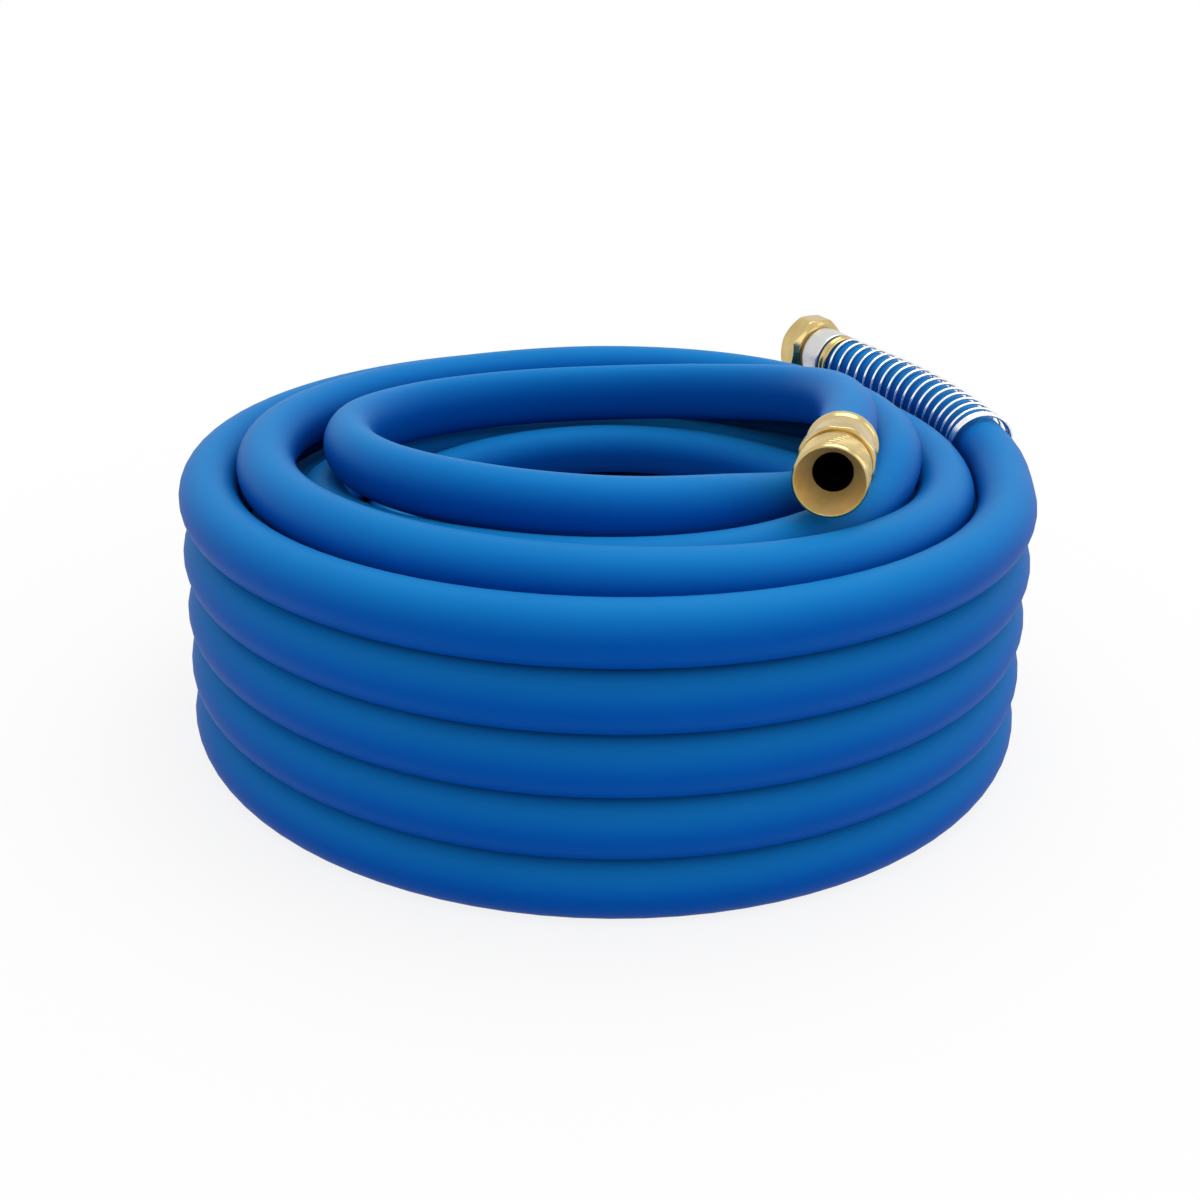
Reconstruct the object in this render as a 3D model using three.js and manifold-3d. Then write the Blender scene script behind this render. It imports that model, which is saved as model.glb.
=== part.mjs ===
// Coiled water hose with brass ends, lying in its shop coil.
// Millimetres, +Z up. The origin is on the floor, under the middle of the part's box.
// Angles along the winding are degrees clockwise seen from above, counted from +X.
import * as THREE from 'three';
import { mergeVertices } from 'three/addons/utils/BufferGeometryUtils.js';
import Module from 'manifold-3d';

// ---- driving dimensions ----
const HOSE_D = 22.8;
const HOSE_BORE_D = 15.9;
const SEAT_GAP = 0.3;
const LEVELS = 5;

// The winding is drawn for a 22.8 mm hose; a thicker hose winds a larger coil.
const COIL_SCALE = HOSE_D / 22.8;
const LOWEST_CENTRE = 9.12;
const LAYER_PITCH = 23.5;
const COLUMN_RADIUS = [161.2, 137.5, 113.7, 90.0];
// The weight of the coil spreads its lower levels, counted from the floor.
const LEVEL_SPREAD = [3.0, 2.1, 1.2, 0.6, 0];
const COIL_OVAL = 0.008;
const RING_STEP = 15;
const HOSE_SIDES = 6;
const STRAIGHT_END = 23;

// Where the winding changes column or level: [start angle, width].
const TURN_IN = [[165, 60], [135, 90], [85, 140]];
const TURN_OUT = [null, [285, 65], [285, 90]];
const TURN_DOWN = [[225, 60], null, [60, 100]];
const TOP_TURN_IN = [[170, 209], [140, 290]];
const TOP_TURN_DOWN = [105, 150];
const CLIMB = [345, 100, -10];
const COIL_END = 5610;
const RAMP_EASE = 0.3;

// The top layer's second and third loops ride up over the first: [degrees, rise].
const TOP_LIFT = [
  [360, 0], [412, 4.6], [450, 8.6], [540, 9.4], [575, 7.0], [600, 6.4], [630, 8.2], [667, 10.7],
  [705, 12.5], [732, 12.0], [752, 4.7], [772, 2.4], [810, 1.4], [900, 0],
];
const TOP_SPREAD = [
  [390, 0], [450, 1.4], [540, 1.4], [660, 0], [810, 0], [870, 2.8], [890, 2.8], [932, 0],
];

// Free ends of the hose: [angle, radius, height] of the centreline.
const FEMALE_END = [
  [-46.9, 178.6, 113.7], [-40.3, 174.4, 112.6], [-29.2, 169.9, 110.6],
  [-17.8, 167.9, 107.6], [-6, 166.2, 104.8],
];
const FEMALE_SLOPE = [-0.88, -0.24];
const COIL_START = 10;
const MALE_END = [
  [5640, 90.2, 80.4], [5670, 89.9, 81.7], [5700, 89.8, 83.0], [5730, 89.0, 86.2],
  [5760, 87.4, 94.8], [5790, 86.2, 105.9], [5820, 88.4, 115.6],
  [5850, 94.5, 120.2], [5880, 100.1, 122.0], [5910, 104.3, 119.8], [5940, 106.7, 115.2],
  [5970, 104.5, 109.3], [6000, 102.3, 106.0], [6030, 101.1, 106.4], [6060, 99.0, 112.2],
  [6090, 97.0, 122.2], [6110, 96.3, 129.2], [6130, 97.1, 132.9], [6148.9, 102.0, 133.7],
];
const MALE_SLOPE = [0.458, 0.0];

// The top curl is bent so tightly that the hose goes oval, taller than wide: [angle, share].
const OVAL = [
  [5790, 0], [5850, 0.04], [5910, 0.06], [5950, 0.12], [5980, 0.15], [6060, 0.15],
  [6090, 0.1], [6130, 0],
];

// Male end, lengths along its axis from the mouth.
const THREAD_R = 13.5;
const THREAD_LENGTH = 16;
const THREAD_CHAMFER = 0.9;
const MOUTH_R = 12.1;
const MOUTH_DEPTH = 14;
const GROOVE_R = 12.0;
const GROOVE_END = 19.5;
const WRENCH_FLATS = 27.8;
const WRENCH_END = 26.5;
const WRENCH_CHAMFER = 0.5;
const MALE_FACE_GAP = 1;

// Barbed tails inside the hose, shared by both ends.
const STEM_LENGTH = 21;
const STEM_WALL = 1.25;
const BARB_RISE = 0.6;
const NECK_OVER_BORE = 0.25;

// Ferrules that squeeze the hose on its stems.
const FERRULE_END_WALL = 2.2;
const MALE_FERRULE_WALL = 1.2;
const MALE_FERRULE_LENGTH = 15.2;
const BEAD_RISE = 0.8;
const BEAD_WIDTH = 4.2;
const FEMALE_FERRULE_WALL = 1.4;
const FEMALE_FERRULE_LENGTH = 13.4;
const FEMALE_FACE_GAP = 0.2;

// Female end, lengths along its axis from the hose's end face.
const HOSE_PAST_ORIGIN = 12;
const NUT_FLATS = 31.4;
const NUT_LENGTH = 13.5;
const NUT_CHAMFER = 2.6;
const NUT_THREAD_R = 12.7;
const NUT_BACK_WALL = 2.4;
const STEM_FLANGE_R = 11.6;
const STEM_FLANGE = 1.8;
const WASHER_R = 12.2;
const WASHER_HOLE_R = 7.4;
const WASHER_THICK = 2.8;
const TURN_CLEARANCE = 0.4;

// Ridged ring and spring guard round the hose behind the female ferrule.
const RING_LENGTH = 4.8;
const RING_WALL = 1.3;
const RING_GROOVE_WALL = 0.7;
const RING_TO_FERRULE = 1.3;
const WIRE_D = 1.3;
const GUARD_CLEARANCE = 0.6;
const GUARD_FLARE = 1.4;
const SPRING_PITCH = 6.5;
const SPRING_OPEN_TURNS = 17;
const SPRING_CLOSED_TURNS = 3;
const CLOSED_PITCH = 1.75;
const CURL_STEPS = 8;
const WIRE_SIDES = 5;
const UNDER_GUARD = 0.945;

// Small edges and reliefs.
const EDGE = 0.4;
const FERRULE_EDGE = 0.8;
const FERRULE_NOSE = 1.2;
const THREAD_LEAD = 1.2;
const OVERLAP = 1;

// Sizes that follow from the ones above.
const HOSE_R = HOSE_D / 2;
const STEM_R = HOSE_BORE_D / 2 - SEAT_GAP;
const WATERWAY_R = STEM_R - STEM_WALL;
const NECK_R = HOSE_BORE_D / 2 + NECK_OVER_BORE;
const NECK_HOLE_R = NECK_R + SEAT_GAP;
const FERRULE_BORE_R = HOSE_R + SEAT_GAP;
const MALE_FERRULE_R = FERRULE_BORE_R + MALE_FERRULE_WALL;
const BEAD_R = MALE_FERRULE_R + BEAD_RISE;
const FEMALE_FERRULE_R = FERRULE_BORE_R + FEMALE_FERRULE_WALL;
const RING_R = FERRULE_BORE_R + RING_WALL;
const RING_GROOVE_R = FERRULE_BORE_R + RING_GROOVE_WALL;
const SPRING_MEAN_R = HOSE_R + GUARD_CLEARANCE + WIRE_D / 2;
const MALE_HOSE_FACE = WRENCH_END + SEAT_GAP + FERRULE_END_WALL + MALE_FACE_GAP;
const NUT_BACK = FEMALE_FACE_GAP + FERRULE_END_WALL + SEAT_GAP;
const FLANGE_BACK = NUT_BACK + NUT_BACK_WALL + TURN_CLEARANCE;
const FLANGE_FRONT = FLANGE_BACK + STEM_FLANGE;

const HOSE_BLUE = 0x0f62b4;
const BRASS = 0xd9b45a;
const BRIGHT_STEEL = 0xc9ccd2;
const RUBBER_BLACK = 0x1c1c1e;

const wasm = await Module();
wasm.setup();

// ---- the winding as radius and height against angle ----

// Eased start and end with a straight middle.
function ramp(t) {
  const s = Math.min(1, Math.max(0, t));
  const v = 1 / (1 - RAMP_EASE);
  if (s < RAMP_EASE) {
    return v * s * s / (2 * RAMP_EASE);
  }
  if (s > 1 - RAMP_EASE) {
    return 1 - v * (1 - s) ** 2 / (2 * RAMP_EASE);
  }
  return v * (s - RAMP_EASE / 2);
}

// Smooth curve through keys [x, y...]; the slopes at its ends are given or flat.
function through(keys, x, column, slopes) {
  const last = keys.length - 1;
  if (x <= keys[0][0]) {
    return keys[0][column];
  }
  if (x >= keys[last][0]) {
    return keys[last][column];
  }
  let i = 0;
  while (x > keys[i + 1][0]) {
    i += 1;
  }
  const slope = (k) => {
    if (k === 0) {
      return slopes[0];
    }
    if (k === last) {
      return slopes[1];
    }
    const back = (keys[k][column] - keys[k - 1][column]) / (keys[k][0] - keys[k - 1][0]);
    const ahead = (keys[k + 1][column] - keys[k][column]) / (keys[k + 1][0] - keys[k][0]);
    return (back + ahead) / 2;
  };
  const h = keys[i + 1][0] - keys[i][0];
  const t = (x - keys[i][0]) / h;
  const a = keys[i][column];
  const b = keys[i + 1][column];
  const bend = (1 + 2 * t) * (1 - t) ** 2 * a + t * t * (3 - 2 * t) * b;
  return bend + h * (t * (1 - t) ** 2 * slope(i) - t * t * (1 - t) * slope(i + 1));
}

// The places that the hose fills in turn: three columns spiral in and out, level
// by level from the top, then the inmost column climbs back up.
function windingPlaces() {
  const places = [];
  for (let level = LEVELS; level >= 1; level -= 1) {
    const order = level % 2 === 1 ? [0, 1, 2] : [2, 1, 0];
    for (const column of order) {
      places.push([column, level]);
    }
  }
  for (let level = 1; level < LEVELS; level += 1) {
    places.push([3, level]);
  }
  return places;
}

function turnWindow([column, level], [nextColumn]) {
  if (column === 3) {
    return [CLIMB[0] + CLIMB[2] * (level - 1), CLIMB[1]];
  }
  if (level === LEVELS) {
    return nextColumn > column ? TOP_TURN_IN[column] : TOP_TURN_DOWN;
  }
  if (nextColumn > column) {
    return TURN_IN[column];
  }
  return nextColumn < column ? TURN_OUT[column] : TURN_DOWN[column];
}

function placeRadius([column, level]) {
  return COLUMN_RADIUS[column] + LEVEL_SPREAD[level - 1];
}

function windingTurns() {
  const places = windingPlaces();
  const turns = [];
  let reached = 0;
  for (let i = 0; i + 1 < places.length; i += 1) {
    const [angle, width] = turnWindow(places[i], places[i + 1]);
    const wait = Math.max(0, Math.ceil((reached - angle) / 360));
    const start = angle + 360 * wait;
    turns.push({
      start,
      width,
      inward: placeRadius(places[i + 1]) - placeRadius(places[i]),
      up: (places[i + 1][1] - places[i][1]) * LAYER_PITCH,
    });
    reached = start + width;
  }
  return turns;
}

const TURNS = windingTurns();

function coilPlace(angle) {
  let radius = COLUMN_RADIUS[0];
  let height = LOWEST_CENTRE + (LEVELS - 1) * LAYER_PITCH;
  for (const turn of TURNS) {
    const share = ramp((angle - turn.start) / turn.width);
    radius += turn.inward * share;
    height += turn.up * share;
  }
  radius += through(TOP_SPREAD, angle, 1, [0, 0]);
  height += through(TOP_LIFT, angle, 1, [0, 0]);
  radius *= 1 + COIL_OVAL * Math.cos(2 * THREE.MathUtils.degToRad(angle));
  return [radius, height];
}

const HOSE_START = FEMALE_END[0][0];
const HOSE_STOP = MALE_END[MALE_END.length - 1][0];

// Rise of the coil's radius and height per degree, where a free end joins it.
function coilSlope(angle) {
  const [before, after] = [coilPlace(angle - 0.5), coilPlace(angle + 0.5)];
  return [after[0] - before[0], after[1] - before[1]];
}

const FEMALE_KEYS = [...FEMALE_END, [COIL_START, ...coilPlace(COIL_START)]];
const MALE_KEYS = [[COIL_END, ...coilPlace(COIL_END)], ...MALE_END];
const START_SLOPE = coilSlope(COIL_START);
const END_SLOPE = coilSlope(COIL_END);

function routePoint(angle) {
  let place;
  if (angle < COIL_START) {
    place = [0, 1].map((k) => through(FEMALE_KEYS, angle, k + 1, [FEMALE_SLOPE[k], START_SLOPE[k]]));
  } else if (angle > COIL_END) {
    place = [0, 1].map((k) => through(MALE_KEYS, angle, k + 1, [END_SLOPE[k], MALE_SLOPE[k]]));
  } else {
    place = coilPlace(angle);
  }
  const [radius, height] = place.map((x) => x * COIL_SCALE);
  const turn = THREE.MathUtils.degToRad(-angle);
  return new THREE.Vector3(radius * Math.cos(turn), radius * Math.sin(turn), height);
}

// Each end runs on straight from where the curve stops.
const TANGENT_STEP = 0.2;
const femaleBend = routePoint(HOSE_START);
const femaleAxis = femaleBend.clone().sub(routePoint(HOSE_START + TANGENT_STEP)).normalize();
const maleBend = routePoint(HOSE_STOP);
const maleAxis = maleBend.clone().sub(routePoint(HOSE_STOP - TANGENT_STEP)).normalize();
const femaleFace = femaleBend.clone().addScaledVector(femaleAxis, STRAIGHT_END);
const maleFace = maleBend.clone().addScaledVector(maleAxis, STRAIGHT_END);

function routeAngles(step) {
  const angles = [HOSE_START];
  const first = Math.ceil((HOSE_START + step / 3) / step) * step;
  for (let angle = first; angle < HOSE_STOP - step / 3; angle += step) {
    angles.push(angle);
  }
  return [...angles, HOSE_STOP];
}

function routePoints(step) {
  return [femaleFace, ...routeAngles(step).map(routePoint), maleFace];
}

// ---- makers of closed bodies ----

// Rings of points joined into one closed skin with flat end caps.
function skin(rings) {
  const sides = rings[0].length;
  const position = [];
  for (const ring of rings) {
    for (const p of ring) {
      position.push(p.x, p.y, p.z);
    }
  }
  const index = [];
  for (let i = 0; i + 1 < rings.length; i += 1) {
    for (let k = 0; k < sides; k += 1) {
      const a = i * sides + k;
      const b = i * sides + (k + 1) % sides;
      index.push(a, b, a + sides);
      index.push(b, b + sides, a + sides);
    }
  }
  const far = (rings.length - 1) * sides;
  for (let k = 1; k + 1 < sides; k += 1) {
    index.push(0, k + 1, k);
    index.push(far, far + k, far + k + 1);
  }
  const geometry = new THREE.BufferGeometry();
  geometry.setAttribute('position', new THREE.Float32BufferAttribute(position, 3));
  geometry.setIndex(index);
  return geometry;
}

// A section carried along points, kept upright; radiusAt gives each ring's radius
// and ovalAt the share by which it is taller and narrower than round.
function tubeAlong(points, radiusAt, ovalAt, sides) {
  const rings = points.map((p, i) => {
    const before = points[Math.max(0, i - 1)];
    const after = points[Math.min(points.length - 1, i + 1)];
    const ahead = after.clone().sub(before).normalize();
    const side = new THREE.Vector3(0, 0, 1).cross(ahead).normalize();
    const top = ahead.clone().cross(side).multiplyScalar(1 + ovalAt(i));
    side.multiplyScalar(1 - ovalAt(i));
    return sectionRing(p, side, top, radiusAt(i), sides);
  });
  return skin(rings);
}

function sectionRing(centre, side, top, radius, sides) {
  const ring = [];
  for (let k = 0; k < sides; k += 1) {
    const turn = Math.PI / 2 + (2 * Math.PI * k) / sides;
    const p = centre.clone();
    p.addScaledVector(side, radius * Math.cos(turn));
    p.addScaledVector(top, radius * Math.sin(turn));
    ring.push(p);
  }
  return ring;
}

function toSolid(geometry) {
  let plain = geometry.clone();
  plain.deleteAttribute('normal');
  plain.deleteAttribute('uv');
  plain = mergeVertices(plain, 1e-4);
  const vertProperties = Float32Array.from(plain.attributes.position.array);
  const triVerts = [];
  const source = plain.index.array;
  for (let i = 0; i < source.length; i += 3) {
    const [a, b, c] = [source[i], source[i + 1], source[i + 2]];
    if (a !== b && b !== c && c !== a) {
      triVerts.push(a, b, c);
    }
  }
  const mesh = new wasm.Mesh({ numProp: 3, vertProperties, triVerts: Uint32Array.from(triVerts) });
  return new wasm.Manifold(mesh);
}

function toGeometry(solid) {
  const mesh = solid.getMesh();
  const geometry = new THREE.BufferGeometry();
  geometry.setAttribute('position', new THREE.Float32BufferAttribute(mesh.vertProperties, 3));
  geometry.setIndex(Array.from(mesh.triVerts));
  return geometry;
}

// Turns a closed profile of [radius, height] about Y.
function turned(profile, segments) {
  const loop = profile.map(([radius, height]) => new THREE.Vector2(radius, height));
  loop.push(loop[0].clone());
  return new THREE.LatheGeometry(loop, segments);
}

// A bar with flats: its sides, its length from y = from to y = to, bevelled both ends.
function flatsBar(flats, sides, from, to, bevel, turn) {
  const corner = flats / 2 / Math.cos(Math.PI / sides);
  const bar = new THREE.CylinderGeometry(corner, corner, to - from, sides);
  bar.rotateY(turn);
  bar.translate(0, (from + to) / 2, 0);
  const inner = corner - bevel;
  const wide = corner * 1.2;
  const slope = (wide - inner) * 0.6;
  const bevelled = new THREE.LatheGeometry([
    new THREE.Vector2(0, from - 0.01),
    new THREE.Vector2(inner, from - 0.01),
    new THREE.Vector2(wide, from + slope),
    new THREE.Vector2(wide, to - slope),
    new THREE.Vector2(inner, to + 0.01),
    new THREE.Vector2(0, to + 0.01),
  ], 48);
  return toSolid(bar).intersect(toSolid(bevelled));
}

function placed(name, geometry, colour, roughness, metalness) {
  const material = new THREE.MeshStandardMaterial({ color: colour, roughness, metalness });
  const mesh = new THREE.Mesh(geometry, material);
  mesh.name = name;
  return mesh;
}

const brassMesh = (name, geometry) => placed(name, geometry, BRASS, 0.3, 1.0);
const steelMesh = (name, geometry) => placed(name, geometry, BRIGHT_STEEL, 0.28, 1.0);

// Stands a group on a point with its +Y along a direction.
function axisGroup(point, direction) {
  const group = new THREE.Group();
  group.position.copy(point);
  group.quaternion.setFromUnitVectors(new THREE.Vector3(0, 1, 0), direction);
  return group;
}

// ---- hose ----

const BORE_DEPTH = STEM_LENGTH + SEAT_GAP;
const GUARDED_RINGS = 5;

function boreCutter(face, axis) {
  const length = BORE_DEPTH + OVERLAP;
  const cutter = new THREE.CylinderGeometry(HOSE_BORE_D / 2, HOSE_BORE_D / 2, length, 16);
  cutter.translate(0, OVERLAP - length / 2, 0);
  const group = axisGroup(face, axis);
  group.updateMatrix();
  return toSolid(cutter.applyMatrix4(group.matrix));
}

function hoseGeometry() {
  // The few flats under the spring guard are drawn in, clear of its curls' chords.
  const radiusAt = (ring) => HOSE_R * (ring <= GUARDED_RINGS ? UNDER_GUARD : 1);
  const angles = [HOSE_START, ...routeAngles(RING_STEP), HOSE_STOP];
  const ovalAt = (ring) => through(OVAL, angles[ring], 1, [0, 0]);
  const tube = toSolid(tubeAlong(routePoints(RING_STEP), radiusAt, ovalAt, HOSE_SIDES));
  const reach = 3 * COLUMN_RADIUS[0];
  const floor = new THREE.BoxGeometry(reach, reach, HOSE_D);
  floor.translate(0, 0, -HOSE_D / 2);
  const flat = tube.subtract(toSolid(floor));
  const open = flat.subtract(boreCutter(femaleFace, femaleAxis));
  return toGeometry(open.subtract(boreCutter(maleFace, maleAxis)));
}

// Shortest distance between loops of the centreline less the hose's diameter.
function leastGap(points, diameter, apart) {
  const fine = [];
  const along = [];
  let run = 0;
  for (let i = 0; i + 1 < points.length; i += 1) {
    const length = points[i].distanceTo(points[i + 1]);
    const parts = Math.max(1, Math.ceil(length / (diameter / 4)));
    for (let k = 0; k < parts; k += 1) {
      fine.push(points[i].clone().lerp(points[i + 1], k / parts));
      along.push(run + (length * k) / parts);
    }
    run += length;
  }
  let least = Infinity;
  for (let i = 0; i < fine.length; i += 1) {
    for (let j = i + 1; j < fine.length; j += 1) {
      if (along[j] - along[i] > apart) {
        least = Math.min(least, fine[i].distanceTo(fine[j]));
      }
    }
  }
  return { gap: least - diameter, length: run };
}

const hoseRun = leastGap(routePoints(RING_STEP), HOSE_D, 3 * HOSE_D);
console.log(`hose: ${(hoseRun.length / 1000).toFixed(2)} m, least gap to itself ${hoseRun.gap.toFixed(2)} mm`);

// ---- male end ----

// Barbed tail that the hose is pushed over, from y = top down to y = top - length.
function barbs(top, length) {
  const step = length / 4;
  const low = STEM_R - BARB_RISE;
  return [
    [NECK_R, top + SEAT_GAP], [STEM_R, top + SEAT_GAP], [STEM_R, top - 0.4 * step],
    [low, top - step], [STEM_R, top - step],
    [low, top - 2 * step], [STEM_R, top - 2 * step],
    [low, top - 3 * step], [STEM_R, top - 3 * step], [low - EDGE, top - length],
  ];
}

function maleFittingGeometry() {
  const bodyEnd = -GROOVE_END;
  const faceDown = -MALE_HOSE_FACE;
  const profile = [
    [MOUTH_R, 0],
    [THREAD_R - THREAD_CHAMFER, 0],
    [THREAD_R, -THREAD_CHAMFER],
    [THREAD_R, -THREAD_LENGTH + THREAD_CHAMFER],
    [GROOVE_R, -THREAD_LENGTH],
    [GROOVE_R, bodyEnd - OVERLAP],
    [NECK_R, bodyEnd - OVERLAP],
    ...barbs(faceDown, STEM_LENGTH),
    [WATERWAY_R, faceDown - STEM_LENGTH],
    [WATERWAY_R, -MOUTH_DEPTH],
  ];
  const body = toSolid(turned(profile.reverse(), 32));
  const collar = flatsBar(WRENCH_FLATS, 8, -WRENCH_END, bodyEnd, WRENCH_CHAMFER, Math.PI / 8);
  const holeR = (WATERWAY_R + NECK_R) / 2;
  const hole = new THREE.CylinderGeometry(holeR, holeR, WRENCH_END * 2, 32);
  const ring = collar.subtract(toSolid(hole));
  return toGeometry(body.add(ring));
}

function ferruleGeometry(profile) {
  return toGeometry(toSolid(turned(profile, 32)));
}

function maleFerruleGeometry() {
  const front = -WRENCH_END - SEAT_GAP;
  const inside = front - FERRULE_END_WALL;
  const back = front - MALE_FERRULE_LENGTH;
  const bead = back + BEAD_WIDTH;
  return ferruleGeometry([
    [NECK_HOLE_R, front],
    [NECK_HOLE_R, inside],
    [FERRULE_BORE_R, inside],
    [FERRULE_BORE_R, back],
    [BEAD_R - FERRULE_EDGE, back],
    [BEAD_R, back + FERRULE_EDGE],
    [BEAD_R, bead - 1.5 * BEAD_RISE],
    [MALE_FERRULE_R, bead],
    [MALE_FERRULE_R, front - FERRULE_EDGE],
    [MALE_FERRULE_R - FERRULE_EDGE, front],
  ]);
}

// ---- female end ----

function femaleFerruleGeometry() {
  const front = NUT_BACK - SEAT_GAP;
  const inside = front - FERRULE_END_WALL;
  const back = front - FEMALE_FERRULE_LENGTH;
  return ferruleGeometry([
    [NECK_HOLE_R, front],
    [NECK_HOLE_R, inside],
    [FERRULE_BORE_R, inside],
    [FERRULE_BORE_R, back],
    [FEMALE_FERRULE_R - EDGE, back],
    [FEMALE_FERRULE_R, back + EDGE],
    [FEMALE_FERRULE_R, front - FERRULE_NOSE],
    [FEMALE_FERRULE_R - FERRULE_NOSE, front],
  ]);
}

function femaleStemGeometry() {
  const profile = [
    [STEM_FLANGE_R, FLANGE_FRONT],
    [STEM_FLANGE_R, FLANGE_BACK],
    [NECK_R, FLANGE_BACK],
    ...barbs(0, STEM_LENGTH),
    [WATERWAY_R, -STEM_LENGTH],
    [WATERWAY_R, FLANGE_FRONT],
  ];
  return toGeometry(toSolid(turned(profile.reverse(), 32)));
}

function nutGeometry() {
  const front = NUT_BACK + NUT_LENGTH;
  const bar = flatsBar(NUT_FLATS, 8, NUT_BACK, front, NUT_CHAMFER, Math.PI / 8);
  const socket = turned([
    [0, front + OVERLAP],
    [NUT_THREAD_R + THREAD_LEAD, front + EDGE],
    [NUT_THREAD_R, front - FERRULE_EDGE],
    [NUT_THREAD_R, NUT_BACK + NUT_BACK_WALL],
    [NECK_R + TURN_CLEARANCE, NUT_BACK + NUT_BACK_WALL],
    [NECK_R + TURN_CLEARANCE, NUT_BACK - OVERLAP],
    [0, NUT_BACK - OVERLAP],
  ].reverse(), 32);
  return toGeometry(bar.subtract(toSolid(socket)));
}

function washerGeometry() {
  const back = FLANGE_FRONT + SEAT_GAP;
  return toGeometry(toSolid(turned([
    [WASHER_HOLE_R, back],
    [WASHER_R, back],
    [WASHER_R, back + WASHER_THICK],
    [WASHER_HOLE_R, back + WASHER_THICK],
  ], 32)));
}

// ---- ridged ring and spring guard ----

const RING_FRONT = NUT_BACK - SEAT_GAP - FEMALE_FERRULE_LENGTH - RING_TO_FERRULE;

function ringGeometry() {
  const back = RING_FRONT - RING_LENGTH;
  const ridge = RING_LENGTH * 0.36;
  const land = RING_LENGTH * 0.5;
  return toGeometry(toSolid(turned([
    [FERRULE_BORE_R, back],
    [RING_R - EDGE, back],
    [RING_R, back + EDGE],
    [RING_R, back + ridge],
    [RING_GROOVE_R, back + land],
    [RING_R, RING_FRONT - ridge],
    [RING_R, RING_FRONT - EDGE],
    [RING_R - EDGE, RING_FRONT],
    [FERRULE_BORE_R, RING_FRONT],
  ], 32)));
}

// Distance down the hose from its end face, to a place and a pair of side vectors.
function hoseStation(path, along) {
  let run = 0;
  let i = 0;
  while (i + 2 < path.length && run + path[i].distanceTo(path[i + 1]) < along) {
    run += path[i].distanceTo(path[i + 1]);
    i += 1;
  }
  const length = path[i].distanceTo(path[i + 1]);
  const place = path[i].clone().lerp(path[i + 1], (along - run) / length);
  const ahead = path[i + 1].clone().sub(path[i]).normalize();
  const side = new THREE.Vector3(0, 0, 1).cross(ahead).normalize();
  return { place, ahead, side, top: ahead.clone().cross(side) };
}

// The guard grips the hose at the ring and opens out a little towards its free end.
function springGeometry() {
  const path = routePoints(RING_STEP).slice(0, 14);
  const start = -RING_FRONT + RING_LENGTH + SEAT_GAP + WIRE_D / 2;
  const turns = SPRING_OPEN_TURNS + SPRING_CLOSED_TURNS;
  const centres = [];
  const outs = [];
  for (let k = 0; k <= turns * CURL_STEPS; k += 1) {
    const turn = k / CURL_STEPS;
    const open = Math.min(turn, SPRING_OPEN_TURNS);
    const along = start + CLOSED_PITCH * (turn - open) + SPRING_PITCH * open;
    const at = hoseStation(path, along);
    const phase = 2 * Math.PI * turn;
    const out = at.side.clone().multiplyScalar(Math.cos(phase));
    out.addScaledVector(at.top, Math.sin(phase));
    const meanR = SPRING_MEAN_R + GUARD_FLARE * (turn / turns) ** 2;
    centres.push(at.place.clone().addScaledVector(out, meanR));
    outs.push(out);
  }
  const rings = centres.map((p, i) => {
    const before = centres[Math.max(0, i - 1)];
    const after = centres[Math.min(centres.length - 1, i + 1)];
    const ahead = after.clone().sub(before).normalize();
    const side = outs[i].clone().cross(ahead).normalize();
    return sectionRing(p, side, ahead.clone().cross(side), WIRE_D / 2, WIRE_SIDES);
  });
  const gap = leastGap(centres, WIRE_D, 3 * SPRING_MEAN_R).gap;
  console.log(`spring guard: ${turns} turns, least gap to itself ${gap.toFixed(2)} mm`);
  return skin(rings);
}

// ---- the assembly ----

const hoseAssembly = new THREE.Group();
hoseAssembly.add(placed('hose', hoseGeometry(), HOSE_BLUE, 0.42, 0.0));
hoseAssembly.add(steelMesh('spring_guard', springGeometry()));

const maleMouth = maleFace.clone().addScaledVector(maleAxis, MALE_HOSE_FACE);
const maleEnd = axisGroup(maleMouth, maleAxis);
maleEnd.add(brassMesh('male_fitting', maleFittingGeometry()));
maleEnd.add(brassMesh('male_ferrule', maleFerruleGeometry()));
hoseAssembly.add(maleEnd);

const femaleEnd = axisGroup(femaleFace, femaleAxis);
femaleEnd.add(brassMesh('female_stem', femaleStemGeometry()));
femaleEnd.add(steelMesh('female_ferrule', femaleFerruleGeometry()));
femaleEnd.add(brassMesh('ridged_ring', ringGeometry()));
femaleEnd.add(brassMesh('swivel_nut', nutGeometry()));
femaleEnd.add(placed('washer', washerGeometry(), RUBBER_BLACK, 0.7, 0.0));
hoseAssembly.add(femaleEnd);

// The origin goes to the middle of the part's own box, on the floor.
const box = new THREE.Box3().setFromObject(hoseAssembly, true);
hoseAssembly.position.set(-(box.min.x + box.max.x) / 2, -(box.min.y + box.max.y) / 2, 0);

export default hoseAssembly;
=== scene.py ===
"""A coiled water hose with a threaded brass end, a swivel nut and a spring guard.

Metres, +Z up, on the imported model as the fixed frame.
"""

import bpy
import numpy as np
from mathutils import Matrix


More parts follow.
